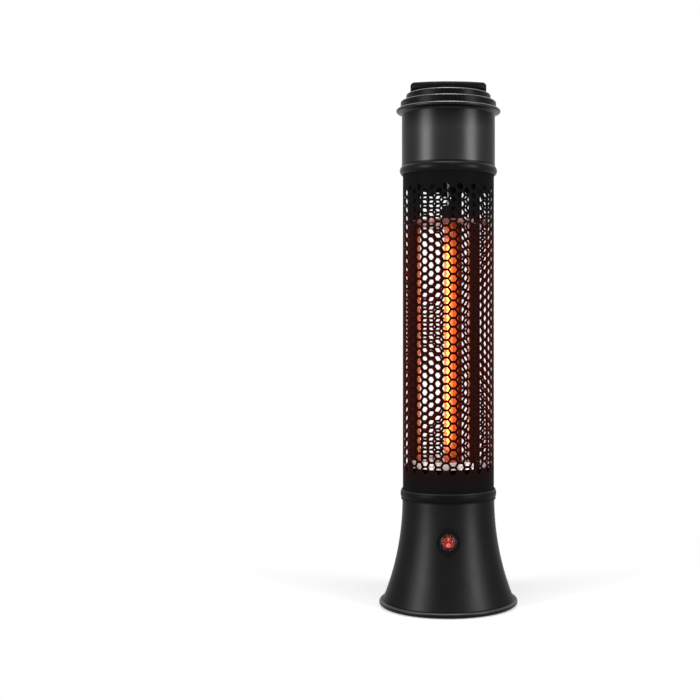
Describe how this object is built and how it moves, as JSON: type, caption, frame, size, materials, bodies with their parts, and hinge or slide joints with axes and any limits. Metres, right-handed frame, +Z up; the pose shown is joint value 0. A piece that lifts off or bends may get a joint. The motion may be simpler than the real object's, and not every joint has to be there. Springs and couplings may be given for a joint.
{
  "type": "infrared patio heater",
  "caption": "Upright infrared heater with a quartz tube between polished pans in a honeycomb guard, on a bell base with a rocker switch, and a stepped cap with a carry handle.",
  "frame": {"origin": "on the floor under the middle of the base", "axes": "+Z up, the switch faces -Y"},
  "size_m": [0.159, 0.159, 0.599],
  "materials": {
    "satin_black": "satin powder coat",
    "post_black": "semi-gloss paint",
    "black_rubber": "matt",
    "black_plastic": "fine texture",
    "white_plastic": "smooth",
    "red_plastic": "glossy",
    "clear_boot": "clear, flexible",
    "steel": "zinc plated",
    "polished_pan": "mirror polish",
    "brass": "plain",
    "quartz": "clear",
    "coil": "glowing resistance wire",
    "ceramic": "unglazed",
    "sleeve": "silicone sleeve"
  },
  "bodies": {
    "heater": {"base_shell": "satin_black", "top_housing": "satin_black", "cap_flange": "satin_black", "cap_drum": "satin_black", "cap_crown": "satin_black", "finger_cup": "satin_black", "lower_collar": "satin_black", "upper_collar": "satin_black", "guard": "satin_black", "base_plate": "satin_black", "lower_sleeves": "post_black", "post_left": "post_black", "post_right": "post_black", "post_rear": "post_black", "upper_sleeves": "post_black", "rubber_feet": "black_rubber", "switch_gasket": "black_rubber", "deck_grommets": "black_rubber", "switch_housing": "black_plastic", "boot_ring": "black_plastic", "cord_gland": "black_plastic", "gland_nut": "black_plastic", "carry_handle": "black_plastic", "tip_switch_body": "black_plastic", "thermal_cutout": "black_plastic", "terminal_block": "white_plastic", "splash_boot": "clear_boot", "base_screws": "steel", "base_nuts": "steel", "inner_screws": "steel", "lower_deck": "steel", "upper_deck": "steel", "tie_rods": "steel", "rod_nuts": "steel", "lower_tube_strap": "steel", "upper_tube_strap": "steel", "strap_rivets": "steel", "cutout_screws": "steel", "cap_screws": "steel", "handle_screws": "steel", "tip_spring": "steel", "element_pins": "steel", "lower_reflector": "polished_pan", "upper_reflector": "polished_pan", "switch_terminals": "brass", "terminal_screws": "brass", "quartz_tube": "quartz", "heating_coil": "coil", "coil_core": "coil", "lower_end_cap": "ceramic", "upper_end_cap": "ceramic", "upper_lead": "sleeve", "return_lead": "sleeve", "lower_lead": "sleeve", "switch_feed_lead": "sleeve", "switch_tip_lead": "sleeve"},
    "rocker": {"rocker": "red_plastic"},
    "tip_plunger": {"tip_plunger": "white_plastic"}
  },
  "joints": [
    {"name": "rocker_hinge", "type": "hinge", "parent": "heater", "child": "rocker", "pos_m": [0, -0.05452, 0.07985], "axis": [1, 0, 0], "range_deg": [0, 20]},
    {"name": "plunger_slide", "type": "slide", "parent": "heater", "child": "tip_plunger", "axis": [0, 0, -1], "range_m": [0, 0.006], "stiffness_N_per_m": 150, "springref_m": 0.012, "deforming": ["tip_spring"]}
  ]
}
